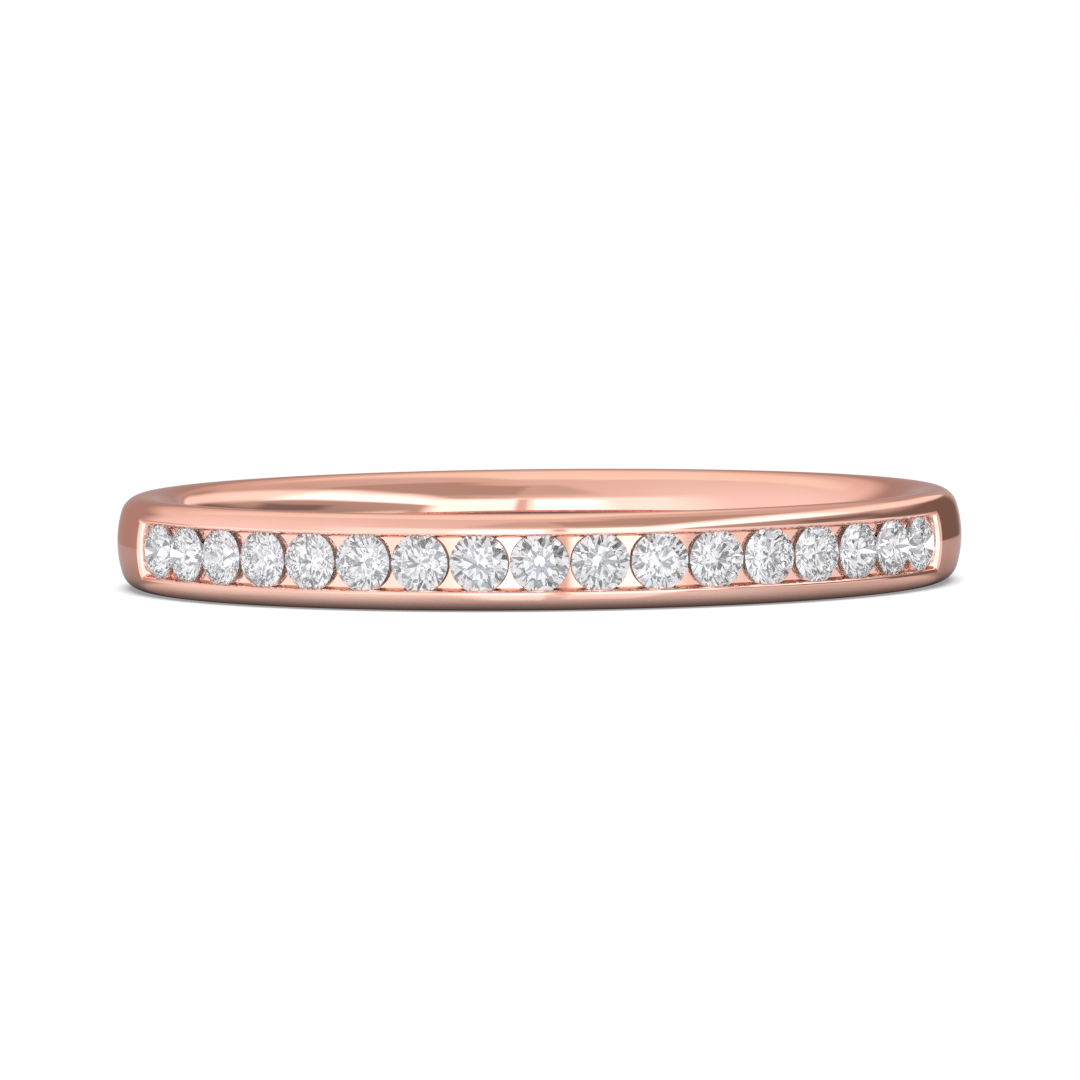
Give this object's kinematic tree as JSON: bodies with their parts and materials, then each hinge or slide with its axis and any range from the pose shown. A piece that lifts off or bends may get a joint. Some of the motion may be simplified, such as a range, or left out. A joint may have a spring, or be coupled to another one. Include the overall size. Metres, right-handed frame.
{
  "type": "wedding band",
  "caption": "Slim finger ring with a row of round brilliant stones channel-set across its front half between two smooth rails.",
  "frame": {"origin": "centre of the finger bore at mid-width of the band", "axes": "+Z along the finger axis, so the ring lies on its side; the middle stone of the row faces -Y; +X runs to the right of the row seen from the front"},
  "size_m": [0.021, 0.021, 0.0024],
  "materials": {
    "rose_gold": "polished 14 carat rose gold",
    "diamond": "polished colourless brilliant cut"
  },
  "bodies": {
    "root": {"band": "rose_gold", "stone_01": "diamond", "stone_02": "diamond", "stone_03": "diamond", "stone_04": "diamond", "stone_05": "diamond", "stone_06": "diamond", "stone_07": "diamond", "stone_08": "diamond", "stone_09": "diamond", "stone_10": "diamond", "stone_11": "diamond", "stone_12": "diamond", "stone_13": "diamond", "stone_14": "diamond", "stone_15": "diamond", "stone_16": "diamond", "stone_17": "diamond"}
  },
  "joints": []
}
